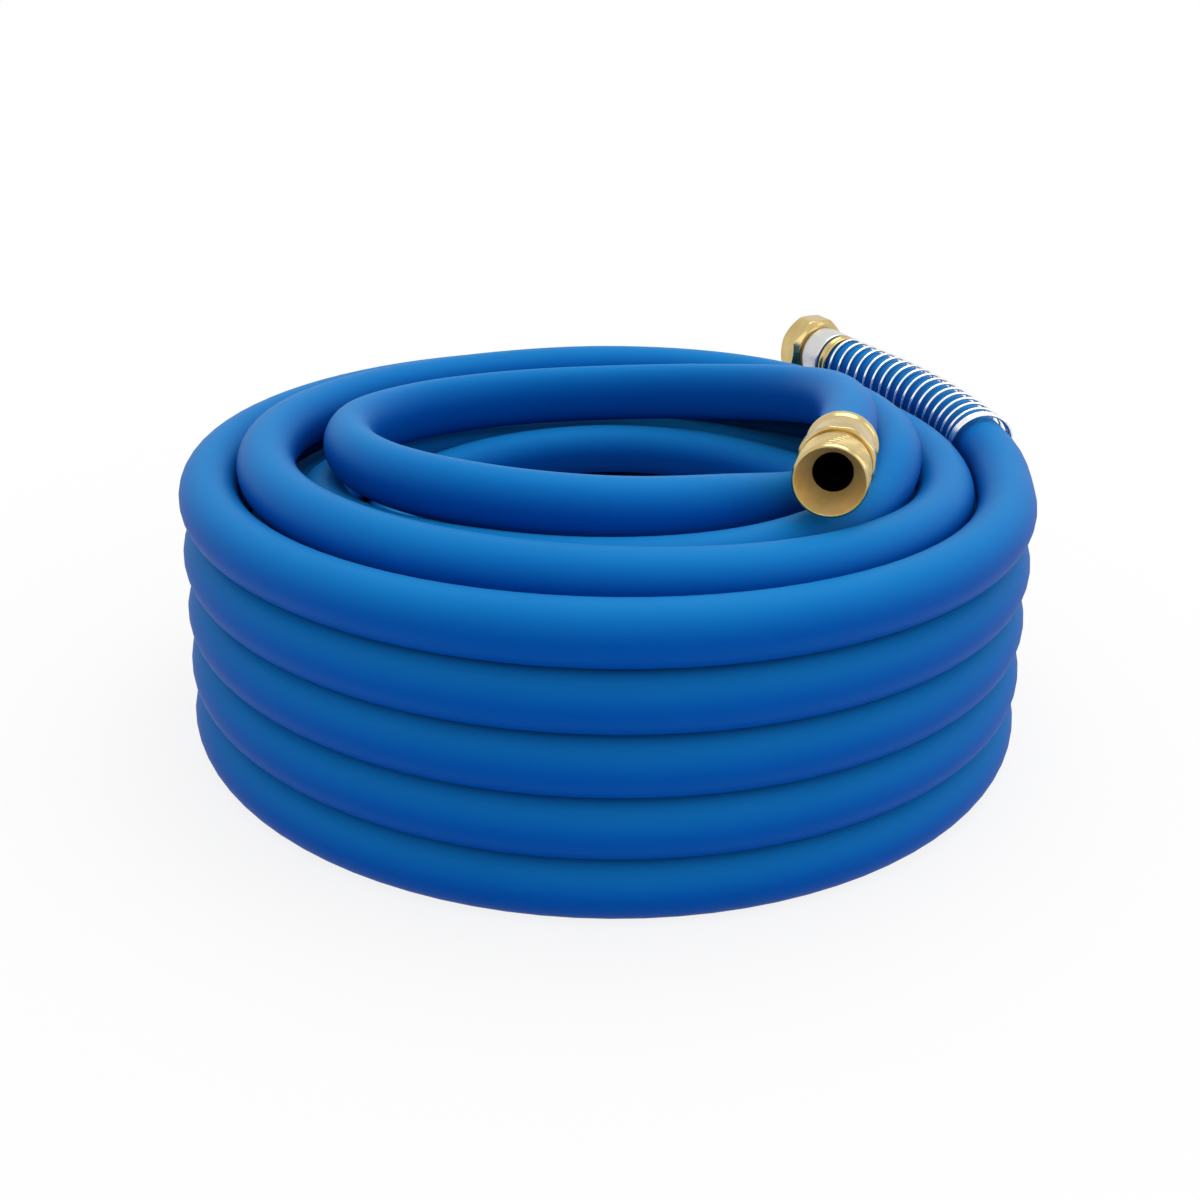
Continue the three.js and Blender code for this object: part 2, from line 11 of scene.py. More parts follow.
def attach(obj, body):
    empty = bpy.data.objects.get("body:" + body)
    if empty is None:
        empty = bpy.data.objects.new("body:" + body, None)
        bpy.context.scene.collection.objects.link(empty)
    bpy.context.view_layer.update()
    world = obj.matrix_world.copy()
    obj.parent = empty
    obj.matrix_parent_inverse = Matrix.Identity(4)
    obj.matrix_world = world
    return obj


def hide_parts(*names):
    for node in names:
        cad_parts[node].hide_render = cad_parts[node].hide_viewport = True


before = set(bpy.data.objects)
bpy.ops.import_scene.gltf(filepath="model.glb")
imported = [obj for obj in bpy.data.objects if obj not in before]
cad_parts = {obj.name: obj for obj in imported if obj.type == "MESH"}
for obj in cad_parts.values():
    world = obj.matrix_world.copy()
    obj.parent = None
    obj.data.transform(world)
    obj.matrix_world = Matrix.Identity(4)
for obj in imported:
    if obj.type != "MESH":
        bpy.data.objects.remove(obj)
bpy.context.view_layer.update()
MM = 0.001

# ---- Camera ----
# The coil is seen from in front and a little above, as it lies on a pale table.
# The middle of the winding is not quite the middle of the part's box.
WINDING_MIDDLE = np.array([-1.427, 0.064, 0.0])
AIM = np.array([-2.45, 0.0, 41.7])
AIM_DISTANCE = 607.7
LOOK_DOWN = np.radians(24.49)
TILT = np.radians(-0.97)
SENSOR_WIDTH, LENS = 36.0, 41.55
NEAREST, FARTHEST = 0.02, 60.0

ahead = np.array([0.0, np.cos(LOOK_DOWN), -np.sin(LOOK_DOWN)])
level_right = np.array([1.0, 0.0, 0.0])
level_up = np.array([0.0, np.sin(LOOK_DOWN), np.cos(LOOK_DOWN)])
eye_right = np.cos(TILT) * level_right - np.sin(TILT) * level_up
eye_up = np.sin(TILT) * level_right + np.cos(TILT) * level_up
eye = (AIM + WINDING_MIDDLE - AIM_DISTANCE * ahead) * MM

camera_data = bpy.data.cameras.new("camera")
camera_data.sensor_width = SENSOR_WIDTH
camera_data.lens = LENS
camera_data.clip_start = NEAREST
camera_data.clip_end = FARTHEST
camera = bpy.data.objects.new("camera", camera_data)
bpy.context.scene.collection.objects.link(camera)
placing = np.eye(4)
placing[:3, 0], placing[:3, 1], placing[:3, 2], placing[:3, 3] = eye_right, eye_up, -ahead, eye
camera.matrix_world = Matrix(placing.tolist())
bpy.context.scene.camera = camera

# ---- Hose ----
# A 5/8 in water hose: a braided tube under a smooth blue cover, 22.8 mm across.
# It is wound at the works in flat spirals, five loops high, with no tie, so each
# loop lies against the next and the lowest loops are pressed flat on the table.
# Lengths are in millimetres, and angles in degrees along the winding, clockwise from
# +X as seen from above.
HOSE_R = 11.4
BORE_R = 7.95
BORE_SHOWN = 70.0
END_LIP = 0.8
HOSE_SIDES = 48
LAYER_PITCH = 23.5
FLAT_CUT = HOSE_R / 5
LEVELS = 5
COLUMN_RADIUS = [161.2, 137.5, 113.7, 90.0]
LEVEL_SPREAD = [3.0, 2.1, 1.2, 0.6, 0]
COIL_OVAL = 0.008
STRAIGHT_END = 23.0
STRAIGHT_STEPS = 4
ANGLE_STEP = 4.0
SLOPE_STEP = 0.5
AXIS_STEP = 0.2
EASE = 0.3
SHARP_EDGE = np.radians(38)
# Where the winding moves to the next column or level: [start angle, width].
TURN_IN = [[165, 60], [135, 90], [85, 140]]
TURN_OUT = [None, [285, 65], [285, 90]]
TURN_DOWN = [[225, 60], None, [60, 100]]
TOP_TURN_IN = [[170, 209], [140, 290]]
TOP_TURN_DOWN = [105, 150]
# The inmost column climbs: first start, width, and change of start from level to level.
CLIMB = [345, 100, -10]
COIL_START, COIL_END = 10, 5610
# The top's second and third loops ride up and spread: [angle, rise or spread].
TOP_LIFT = [
    [360, 0], [412, 4.6], [450, 8.6], [540, 9.4], [575, 7.0], [600, 6.4], [630, 8.2], [667, 10.7],
    [705, 12.5], [732, 12.0], [752, 4.7], [772, 2.4], [810, 1.4], [900, 0],
]
TOP_SPREAD = [
    [390, 0], [450, 1.4], [540, 1.4], [660, 0], [810, 0], [870, 2.8], [890, 2.8], [932, 0],
]
# Keys of the free ends: [angle, radius, height], and their slopes at the fittings.
FEMALE_END = [
    [-46.9, 178.6, 113.7], [-40.3, 174.4, 112.6], [-29.2, 169.9, 110.6],
    [-17.8, 167.9, 107.6], [-6, 166.2, 104.8],
]
FEMALE_SLOPE = [-0.88, -0.24]
MALE_END = [
    [5640, 90.2, 80.4], [5670, 89.9, 81.7], [5700, 89.8, 83.0], [5730, 89.0, 86.2],
    [5760, 87.4, 94.8], [5790, 86.2, 105.9], [5820, 88.4, 115.6],
    [5850, 94.5, 120.2], [5880, 100.1, 122.0], [5910, 104.3, 119.8], [5940, 106.7, 115.2],
    [5970, 104.5, 109.3], [6000, 102.3, 106.0], [6030, 101.1, 106.4], [6060, 99.0, 112.2],
    [6090, 97.0, 122.2], [6110, 96.3, 129.2], [6130, 97.1, 132.9], [6148.9, 102.0, 133.7],
]
MALE_SLOPE = [0.458, 0.0]
# Share by which the last curl is squeezed narrower and taller: [angle, share].
OVAL = [
    [5790, 0], [5850, 0.04], [5910, 0.06], [5950, 0.12], [5980, 0.15], [6060, 0.15],
    [6090, 0.1], [6130, 0],
]


def eased(t):
    """Share of a move done at t: a quadratic start and end with a straight middle."""
    t = np.clip(t, 0, 1)
    middle = (t - EASE / 2) / (1 - EASE)
    start = t**2 / (2 * EASE * (1 - EASE))
    end = 1 - (1 - t) ** 2 / (2 * EASE * (1 - EASE))
    return np.where(t < EASE, start, np.where(t > 1 - EASE, end, middle))


def through(keys, x, first_slope=0.0, last_slope=0.0):
    """Cubic curve through keys (x, y); at a key its slope is the mean of the chords'."""
    at, value = np.array(keys, float).T
    chord = np.diff(value) / np.diff(at)
    slope = np.r_[first_slope, (chord[1:] + chord[:-1]) / 2, last_slope]
    x = np.clip(x, at[0], at[-1])
    i = np.clip(np.searchsorted(at, x, side="right") - 1, 0, len(at) - 2)
    h = at[i + 1] - at[i]
    t = (x - at[i]) / h
    joined = (1 + 2 * t) * (1 - t) ** 2 * value[i] + t**2 * (3 - 2 * t) * value[i + 1]
    return joined + h * (t * (1 - t) ** 2 * slope[i] - t**2 * (1 - t) * slope[i + 1])


def winding_moves():
    """[start, width, change of radius, rise] of each move to the next column or level."""
    places = []
    for level in range(LEVELS, 0, -1):
        order = (0, 1, 2) if level % 2 else (2, 1, 0)
        places += [(column, level) for column in order]
    places += [(3, level) for level in range(1, LEVELS)]
    moves, reached = [], 0
    for (column, level), (next_column, next_level) in zip(places[:-1], places[1:]):
        inward = next_column > column
        if column == 3:
            angle, width = CLIMB[0] + CLIMB[2] * (level - 1), CLIMB[1]
        elif level == LEVELS:
            angle, width = TOP_TURN_IN[column] if inward else TOP_TURN_DOWN
        elif inward:
            angle, width = TURN_IN[column]
        else:
            table = TURN_OUT if next_column < column else TURN_DOWN
            angle, width = table[column]
        start = angle + 360 * max(0, int(np.ceil((reached - angle) / 360)))
        change = COLUMN_RADIUS[next_column] - COLUMN_RADIUS[column]
        change += LEVEL_SPREAD[next_level - 1] - LEVEL_SPREAD[level - 1]
        moves.append([start, width, change, (next_level - level) * LAYER_PITCH])
        reached = start + width
    return np.array(moves, float)


MOVES = winding_moves()


def coil_place(angle):
    """Radius and height in the coil at an angle: the sum of the moves made so far."""
    angle = np.atleast_1d(np.asarray(angle, float))
    done = eased((angle[:, None] - MOVES[:, 0]) / MOVES[:, 1])
    radius = COLUMN_RADIUS[0] + done @ MOVES[:, 2] + through(TOP_SPREAD, angle)
    height = HOSE_R - FLAT_CUT + (LEVELS - 1) * LAYER_PITCH + done @ MOVES[:, 3]
    height += through(TOP_LIFT, angle)
    radius *= 1 + COIL_OVAL * np.cos(2 * np.radians(angle))
    return np.stack([radius, height], 1)


def end_place(keys, angle, first_slope, last_slope):
    """Radius and height in a free end at an angle, through its keys."""
    columns = [[[key[0], key[k]] for key in keys] for k in (1, 2)]
    ends = zip(columns, first_slope, last_slope)
    return np.stack([through(pairs, angle, first, last) for pairs, first, last in ends], 1)


def route_place(angle):
    """Points of the hose's centreline, in millimetres, at angles along the winding."""
    angle = np.atleast_1d(np.asarray(angle, float))
    spots = [[at - SLOPE_STEP, at, at + SLOPE_STEP] for at in (COIL_START, COIL_END)]
    joins = [coil_place(spot) for spot in spots]
    slopes = [(join[2] - join[0]) / (2 * SLOPE_STEP) for join in joins]
    female = FEMALE_END + [[COIL_START, *joins[0][1]]]
    male = [[COIL_END, *joins[1][1]]] + MALE_END
    in_female = end_place(female, angle, FEMALE_SLOPE, slopes[0])
    in_male = end_place(male, angle, slopes[1], MALE_SLOPE)
    is_female, is_male = (angle < COIL_START)[:, None], (angle > COIL_END)[:, None]
    place = np.where(is_female, in_female, np.where(is_male, in_male, coil_place(angle)))
    turn = np.radians(-angle)
    flat = place[:, :1] * np.stack([np.cos(turn), np.sin(turn)], 1)
    return np.concatenate([flat, place[:, 1:]], 1) + WINDING_MIDDLE


def unit(v):
    """Vectors divided by their lengths."""
    return v / np.linalg.norm(v, axis=-1, keepdims=True)


FIRST_ANGLE, LAST_ANGLE = FEMALE_END[0][0], MALE_END[-1][0]
bends = np.arange(FIRST_ANGLE, LAST_ANGLE - ANGLE_STEP / 2, ANGLE_STEP)
curve = route_place(np.r_[bends, LAST_ANGLE])
female_axis = unit(np.subtract(*route_place([FIRST_ANGLE, FIRST_ANGLE + AXIS_STEP])))
male_axis = unit(np.subtract(*route_place([LAST_ANGLE, LAST_ANGLE - AXIS_STEP])))
stub = np.linspace(1, 1 / STRAIGHT_STEPS, STRAIGHT_STEPS)[:, None] * STRAIGHT_END
female_stub, male_stub = curve[0] + stub * female_axis, curve[-1] + stub[::-1] * male_axis
route = np.concatenate([female_stub, curve, male_stub])
female_face, male_face = route[0], route[-1]
route_run = np.r_[0, np.cumsum(np.linalg.norm(np.diff(route, axis=0), axis=1))]
HOSE_LENGTH = route_run[-1]
first_angles, last_angles = [FIRST_ANGLE] * STRAIGHT_STEPS, [LAST_ANGLE] * (STRAIGHT_STEPS + 1)
route_oval = through(OVAL, np.r_[first_angles, bends, last_angles])


def along_route(run):
    """Centre, side and upper direction of the hose at distances down it."""
    centre = np.stack([np.interp(run, route_run, route[:, k]) for k in range(3)], -1)
    tangents = np.gradient(route, route_run, axis=0)
    way = unit(np.stack([np.interp(run, route_run, tangents[:, k]) for k in range(3)], -1))
    side = unit(np.cross([0.0, 0.0, 1.0], way))
    return centre, side, np.cross(way, side)


def surface_piece(name, grid, run, around, body, closed=False):
    """A mesh on a grid of points, its columns joined round, its rows closed or capped.

    run and around are the two surface distances in metres, kept as the UV map.
    """
    rows, columns = grid.shape[:2]
    row = np.arange(rows if closed else rows - 1)[:, None] + np.zeros(columns, int)
    column = np.arange(columns)[None, :] + 0 * row
    after, beside = (row + 1) % rows, (column + 1) % columns
    quads = np.stack([row, row, after, after], -1) * columns
    quads += np.stack([column, beside, beside, column], -1)
    run, around = (np.r_[d, 2 * d[-1] - d[-2]] for d in (run, around))
    u = np.stack([run[row], run[row], run[row + 1], run[row + 1]], -1)
    v = np.stack([around[c] for c in (column, column + 1, column + 1, column)], -1)
    points, quads = grid.reshape(-1, 3) * MM, quads.reshape(-1, 4)
    uv = np.stack([u, v], -1).reshape(-1, 4, 2)
    a, b, c, d = (points[quads[:, k]] for k in range(4))
    volume = np.einsum("ij,ij->", a, np.cross(b, c)) + np.einsum("ij,ij->", a, np.cross(c, d))
    faces = quads if volume > 0 else quads[:, ::-1]
    uv = uv if volume > 0 else uv[:, ::-1]
    faces, uv = faces.tolist(), uv.reshape(-1, 2)
    if not closed:
        near, far = np.arange(columns), np.arange(columns) + (rows - 1) * columns
        pole = [near * 0 + len(points), near * 0 + len(points) + 1]
        caps = np.stack([[np.roll(near, -1), near, pole[0]], [far, np.roll(far, -1), pole[1]]])
        caps = caps.transpose(0, 2, 1).reshape(-1, 3)
        faces += (caps if volume > 0 else caps[:, ::-1]).tolist()
        points = np.concatenate([points, grid[:1].mean(1) * MM, grid[-1:].mean(1) * MM])
        uv = np.concatenate([uv, np.zeros((caps.size, 2))])
    mesh = bpy.data.meshes.new(name)
    mesh.from_pydata(points.tolist(), [], faces)
    layer = mesh.uv_layers.new(name="run_around")
    layer.data.foreach_set("uv", uv.astype(np.float32).ravel())
    mesh.shade_smooth()
    mesh.set_sharp_from_angle(angle=SHARP_EDGE)
    piece = bpy.data.objects.new(name, mesh)
    bpy.context.scene.collection.objects.link(piece)
    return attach(piece, body)


def ring_grid(centre, side, top, radius, turn):
    """Rings of points: centre + radius * (side * cos + top * sin), one ring a row."""
    radius = np.asarray(radius).reshape(len(centre), -1)
    radius = np.broadcast_to(radius, (len(centre), len(turn)))
    across = side[:, None, :] * np.cos(turn)[:, None] + top[:, None, :] * np.sin(turn)[:, None]
    return centre[:, None, :] + radius[..., None] * across


def tube_rows():
    """Distance and radius of each ring of the hose: bore, end face, cover, and back."""
    inner = route_run[route_run < BORE_SHOWN]
    lip, last_lip = END_LIP, HOSE_LENGTH - END_LIP
    first = [[0.0, BORE_R + lip], [0.0, HOSE_R - lip], [0.25 * lip, HOSE_R - 0.25 * lip]]
    start = [[run, BORE_R] for run in inner[::-1]] + first
    outside = np.r_[lip, route_run[(route_run > lip) & (route_run < last_lip)], last_lip]
    mirrored = [[HOSE_LENGTH - run, radius] for run, radius in start[::-1]]
    return np.array(start + [[run, HOSE_R] for run in outside] + mirrored)


hose_rows = tube_rows()
hose_turn = np.linspace(0, 2 * np.pi, HOSE_SIDES, endpoint=False) + np.pi / 2
centre, side, top = along_route(hose_rows[:, 0])
oval = np.interp(hose_rows[:, 0], route_run, route_oval)[:, None]
side, top = side * (1 - oval), top * (1 + oval)
hose_grid = ring_grid(centre, side, top, hose_rows[:, 1], hose_turn)
hose_grid[..., 2] = np.maximum(hose_grid[..., 2], 0.0)
surface_run = np.r_[0, np.cumsum(np.hypot(*np.diff(hose_rows, axis=0).T))] * MM
hose = surface_piece("hose_tube", hose_grid, surface_run, hose_turn * HOSE_R * MM, "hose_body")
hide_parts("hose")


class Field:
    """A number that varies over a surface; arithmetic on it adds Math nodes."""

    def __init__(self, finish, socket):
        self.finish = finish
        self.socket = socket

    def _joined(self, operation, first, second):
        return self.finish.node("ShaderNodeMath", {"operation": operation}, {0: first, 1: second})

    def __add__(self, other):
        return self._joined("ADD", self, other)

    def __radd__(self, other):
        return self._joined("ADD", other, self)

    def __sub__(self, other):
        return self._joined("SUBTRACT", self, other)

    def __rsub__(self, other):
        return self._joined("SUBTRACT", other, self)

    def __mul__(self, other):
        return self._joined("MULTIPLY", self, other)

    def __rmul__(self, other):
        return self._joined("MULTIPLY", other, self)

    def __pow__(self, other):
        return self._joined("POWER", self, other)

    def clipped(self):
        """The same number kept from 0 to 1."""
        return self.finish.node("ShaderNodeClamp", {}, {"Value": self})


class Finish:
    """One material, with its principled shader and its nodes."""

    def __init__(self, name, **sockets):
        self.material = bpy.data.materials.new(name)
        self.material.use_nodes = True
        self.tree = self.material.node_tree
        self.shader = self.tree.nodes["Principled BSDF"]
        for socket, value in sockets.items():
            self.set(socket.replace("_", " "), value)

    def set(self, socket, value):
        """Gives one socket of the shader its value or its field."""
        self._feed(self.shader.inputs[socket], value)

    def _feed(self, socket, value):
        if isinstance(value, Field):
            self.tree.links.new(value.socket, socket)
        elif hasattr(value, "__len__") and len(value) == 3 and socket.type == "RGBA":
            socket.default_value = (*value, 1.0)
        else:
            socket.default_value = value

    def node(self, kind, settings, inputs, output=0):
        """Adds a node: its settings first, then the values or links of its sockets."""
        made = self.tree.nodes.new(kind)
        for name, value in settings.items():
            setattr(made, name, value)
        for name, value in inputs.items():
            self._feed(made.inputs[name], value)
        return Field(self, made.outputs[output])

    def mixed(self, share, first, second):
        """A colour between two, by a share from 0 to 1."""
        settings = {"data_type": "RGBA"}
        return self.node("ShaderNodeMix", settings, {0: share, 6: first, 7: second}, 2)

    def noise(self, scale, detail=3.0, stretch=None):
        """Soft noise on object coordinates, or on the surface map stretched two ways."""
        if stretch is None:
            place = self.node("ShaderNodeTexCoord", {}, {}, "Object")
        else:
            surface = self.node("ShaderNodeUVMap", {"uv_map": "run_around"}, {})
            inputs = {"Vector": surface, "Scale": (*stretch, 1.0)}
            place = self.node("ShaderNodeMapping", {}, inputs)
        inputs = {"Vector": place, "Scale": scale, "Detail": detail}
        return self.node("ShaderNodeTexNoise", {}, inputs)

    def bumped(self, height, depth, strength=1.0):
        """Bends the surface's normal by a height field of a depth in metres."""
        inputs = {"Height": height, "Distance": depth, "Strength": strength}
        self.set("Normal", self.node("ShaderNodeBump", {}, inputs))

    def on(self, *pieces):
        """Puts the material on pieces."""
        for piece in pieces:
            piece.data.materials.clear()
            piece.data.materials.append(self.material)


COVER_BLUE = (0.0, 0.062, 0.34)
COVER_WORN = (0.001, 0.082, 0.385)
# Lighter, more cyan blue mixed onto upward-facing parts: painted light on the tops of the loops.
COVER_PAINTED_TOP_LIGHT = (0.010, 0.230, 0.55)
COVER_GLEAM = (0.15, 0.9, 1.0)
cover = Finish("satin_blue_cover", Specular_IOR_Level=0.06, Specular_Tint=COVER_GLEAM)
cloud = cover.noise(9.0, 4.0)
scuff = cover.noise(260.0, 5.0)
drawn = cover.noise(1.0, 3.0, (3.0, 1400.0))
handled = cover.mixed((cloud * 0.9 + scuff * 0.25 - 0.2).clipped(), COVER_BLUE, COVER_WORN)
# Surfaces facing up are mixed towards the lighter blue: painted light on the tops of the loops.
facing = cover.node("ShaderNodeNewGeometry", {}, {}, "Normal")
upward = cover.node("ShaderNodeSeparateXYZ", {}, {0: facing}, "Z").clipped()
cover.set("Base Color", cover.mixed(upward**1.5 * (0.55 + 0.3 * cloud), handled, COVER_PAINTED_TOP_LIGHT))
cover.set("Roughness", 0.40 + 0.10 * cloud + 0.06 * scuff)
cover.bumped(drawn * 0.6 + scuff * 0.4, 0.00012, 0.35)
cover.on(hose)


# ---- Spring guard ----
# Bright steel wire, 1.3 mm thick, wound in one length over the hose next to the nut
# so that it can't kink there: open turns, then three closed turns at its free end.
# It grips the hose behind the ridged ring and stands a little off it at the far end.
WIRE_R = 0.65
GUARD_R = 12.65
GUARD_FLARE = 1.4
GUARD_PITCH = 6.5
GUARD_OPEN = 17
GUARD_CLOSED = 3
CLOSED_PITCH = 1.75
GUARD_START = 17.9
GUARD_TURNS = GUARD_OPEN + GUARD_CLOSED
STEPS_A_TURN = 40
WIRE_SIDES = 14
turns = np.linspace(0, GUARD_TURNS, GUARD_TURNS * STEPS_A_TURN + 1)
open_turns = np.clip(turns, 0, GUARD_OPEN)
guard_run = GUARD_START + CLOSED_PITCH * (turns - open_turns) + GUARD_PITCH * open_turns
centre, side, top = along_route(guard_run)
phase = 2 * np.pi * turns[:, None]
flared_r = GUARD_R + GUARD_FLARE * (turns[:, None] / GUARD_TURNS) ** 2
wire_line = centre + flared_r * (side * np.cos(phase) + top * np.sin(phase))
wire_way = unit(np.gradient(wire_line, axis=0))
wire_out = unit(wire_line - centre)
wire_side = unit(np.cross(wire_out, wire_way))
wire_top = np.cross(wire_way, wire_side)
wire_turn = np.linspace(0, 2 * np.pi, WIRE_SIDES, endpoint=False)
wire_size = np.r_[0.6, 0.9, np.ones(len(turns) - 4), 0.9, 0.6] * WIRE_R
wire_grid = ring_grid(wire_line, wire_side, wire_top, wire_size, wire_turn)
wire_run = np.r_[0, np.cumsum(np.linalg.norm(np.diff(wire_line, axis=0), axis=1))] * MM
guard = surface_piece("guard_wire", wire_grid, wire_run, wire_turn * WIRE_R * MM, "hose_body")
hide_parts("spring_guard")

bright_wire = Finish("bright_drawn_wire", Metallic=1.0)
bright_wire.set("Base Color", (0.80, 0.81, 0.83))
wire_lines = bright_wire.noise(1.0, 2.0, (20.0, 4000.0))
bright_wire.set("Roughness", 0.14 + 0.14 * wire_lines)
bright_wire.bumped(wire_lines, 0.00004, 0.4)
bright_wire.on(guard)

# ---- Male end ----
# A machined brass fitting: a wide conical mouth, an outside hose thread, a groove,
# an eight-sided collar for the wrench and a barbed tail pushed into the hose.
HOSE_TO_MOUTH = 30.0
THREAD_PITCH = 25.4 / 11.5
THREAD_R = 13.5
THREAD_DEPTH = 1.15
THREAD_FROM, THREAD_TO = -1.2, -15.4
BARB_STEP = 5.25
BARB_R, BARB_ROOT_R, TAIL_END_R = 7.65, 7.05, 6.65
TAIL_BORE_R, SHOULDER_R = 6.4, 8.2
GROOVE_R = 12.0
COLLAR_FRONT, COLLAR_BACK = -19.5, -26.5
COLLAR_FLATS, COLLAR_CORNER_R = 27.8, 15.045
# Brass inside the second radius, in the bore, is painted near black as shade.
WATERWAY_R, PAINTED_SHADE_WITHIN_R = 7.2, 7.3
MOUTH_R = 12.45
MOUTH_DEPTH = 11.2
TURNED_MAP_R = 13


def softened(corners, steps=5):
    """A closed profile of [radius, length, rounding] corners, each cut by a short curve."""
    corners = np.array(corners, float)
    at, rounding = corners[:, :2], corners[:, 2:]
    rounded = []
    for way in (1, -1):
        edge = np.roll(at, way, axis=0) - at
        size = np.linalg.norm(edge, axis=1, keepdims=True)
        rounded.append(at + edge / size * np.minimum(rounding, 0.45 * size))
    t = np.linspace(0, 1, steps)[:, None, None]
    curve = (1 - t) ** 2 * rounded[0] + 2 * t * (1 - t) * at + t**2 * rounded[1]
    return curve.transpose(1, 0, 2).reshape(-1, 2)


def filled(profile, longest):
    """The same closed profile with its long stretches divided evenly."""
    ahead_of = np.roll(profile, -1, axis=0)
    parts = np.ceil(np.linalg.norm(ahead_of - profile, axis=1) / longest).astype(int)
    parts = np.maximum(parts, 1)
    which = np.repeat(np.arange(len(profile)), parts)
    share = (np.arange(len(which)) - np.repeat(np.cumsum(parts) - parts, parts)) / parts[which]
    return profile[which] + share[:, None] * (ahead_of - profile)[which]


def turned_piece(name, face, axis, corners, body, node, shape=None, longest=3.0, sides=128):
    """A closed profile turned about an axis from a face.

    shape gives the radius at every length and turn of a piece that isn't round.
    """
    profile = filled(softened(corners), longest)
    radius, length = profile[:, :1], profile[:, 1:]
    turn = np.linspace(0, 2 * np.pi, sides, endpoint=False)
    around = np.broadcast_to(turn, (len(profile), sides))
    if shape is not None:
        radius = shape(radius + 0 * around, length + 0 * around, around)
    side = np.broadcast_to(unit(np.cross([0.0, 0.0, 1.0], axis)), (len(profile), 3))
    top = np.cross(axis, side)
    grid = ring_grid(face + length * axis, side, top, radius, turn)
    steps = np.linalg.norm(np.diff(profile, axis=0), axis=1)
    run = np.r_[0, np.cumsum(steps)] * MM
    piece = surface_piece(name, grid, run, turn * TURNED_MAP_R * MM, body, closed=True)
    radius, length = profile.T
    # Rows inside the bore are marked for painted shade.
    bore_painted_shade = radius < PAINTED_SHADE_WITHIN_R
    # Rows in the mouth's cone are marked for painted light.
    in_mouth = ~bore_painted_shade & (radius < MOUTH_R) & (length > -MOUTH_DEPTH)
    for mark, rows in (("bore_painted_shade", bore_painted_shade), ("in_mouth", in_mouth)):
        layer = piece.data.attributes.new(mark, "FLOAT", "POINT")
        layer.data.foreach_set("value", np.repeat(rows, sides).astype(float))
    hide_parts(node)
    return piece


def rounded_least(first, second, sharpness):
    """The lesser of two, its crease rounded: minus the log of the summed exponentials."""
    return -np.logaddexp(-first * sharpness, -second * sharpness) / sharpness


def flats_radius(turn, flats, sides=8, corner_cut=0.35):
    """Radius of a rounded polygon with a flat on top, at each turn."""
    step = 2 * np.pi / sides
    off_flat = np.abs((turn + step / 2) % step - step / 2)
    sharp = flats / 2 / np.cos(off_flat)
    largest = flats / 2 / np.cos(step / 2) - corner_cut
    return rounded_least(sharp, largest, 9)


def helix(length, turn, pitch, depth, start, stop):
    """Depth below the crest of a flat-topped thread cut from start to stop."""
    phase = (length / pitch + turn / (2 * np.pi)) % 1.0
    groove = np.clip(1.25 - np.abs(phase - 0.5) * 3.6, 0, 1)
    low, high = min(start, stop), max(start, stop)
    inside = np.clip((length - low) / pitch, 0, 1) * np.clip((high - length) / pitch * 2.5, 0, 1)
    return depth * groove * inside


def barbs(first):
    """Corners of a barbed tail of four steps that starts at a length."""
    corners = [[SHOULDER_R, first + 0.3, 0.1], [BARB_R, first + 0.3, 0.1]]
    for k in range(1, 4):
        step = first - k * BARB_STEP
        corners += [[BARB_ROOT_R, step, 0.1], [BARB_R, step, 0.1]]
    end = first - 4 * BARB_STEP
    return corners + [[TAIL_END_R, end, 0.1], [TAIL_BORE_R, end, 0.1]]


def male_shape(radius, length, turn):
    """Thread cut into the front, and flats on the collar, of the turned blank."""
    cut = helix(length, turn, THREAD_PITCH, THREAD_DEPTH, THREAD_TO, THREAD_FROM)
    threaded = radius - np.where(radius > THREAD_R - 0.9, cut, 0)
    corner = COLLAR_FLATS / 2 / np.cos(np.pi / 8)
    share = np.clip((radius - GROOVE_R) / (corner - GROOVE_R), 0, 1)
    flat = GROOVE_R + share * (flats_radius(turn, COLLAR_FLATS, corner_cut=0.7) - GROOVE_R)
    from_end = np.minimum(length - COLLAR_BACK, COLLAR_FRONT - length)
    collar = rounded_least(flat, 13.3 + from_end * 1.2, 8)
    on_collar = (length < COLLAR_FRONT + 0.5) & (radius > GROOVE_R)
    return np.where(on_collar, collar, threaded)


male_mouth = male_face + HOSE_TO_MOUTH * male_axis
male_corners = [
    [MOUTH_R, 0.0, 0.1], [12.95, 0.0, 0.15], [THREAD_R, -0.9, 0.2], [THREAD_R, -15.0, 0.2],
    [GROOVE_R, -16.0, 0.4], [GROOVE_R, COLLAR_FRONT, 0.3],
    [COLLAR_CORNER_R, COLLAR_FRONT, 0.5], [COLLAR_CORNER_R, COLLAR_BACK, 0.5],
    [SHOULDER_R, COLLAR_BACK, 0.1], *barbs(-HOSE_TO_MOUTH)[1:],
    [TAIL_BORE_R, -25.5, 0.3], [WATERWAY_R, -24.5, 0.3], [WATERWAY_R, -MOUTH_DEPTH, 0.3],
]
male_fitting = turned_piece(
    "male_nipple", male_mouth, male_axis, male_corners, "hose_body", "male_fitting",
    male_shape, longest=0.22, sides=160,
)

# Each pair's second colour darkens the brass in large blotches: partly real tarnish, partly
# painted reflection of dark surroundings.
BRASS, BRASS_STAIN_AND_PAINTED_REFLECTION = (0.65, 0.51, 0.23), (0.50, 0.36, 0.14)
# The mouth's colours are brighter: painted light standing in for what the cone reflects.
MOUTH_PAINTED_LIGHT, MOUTH_PAINTED_LIGHT_STAIN_AND_REFLECTION = (0.92, 0.67, 0.29), (0.70, 0.46, 0.12)
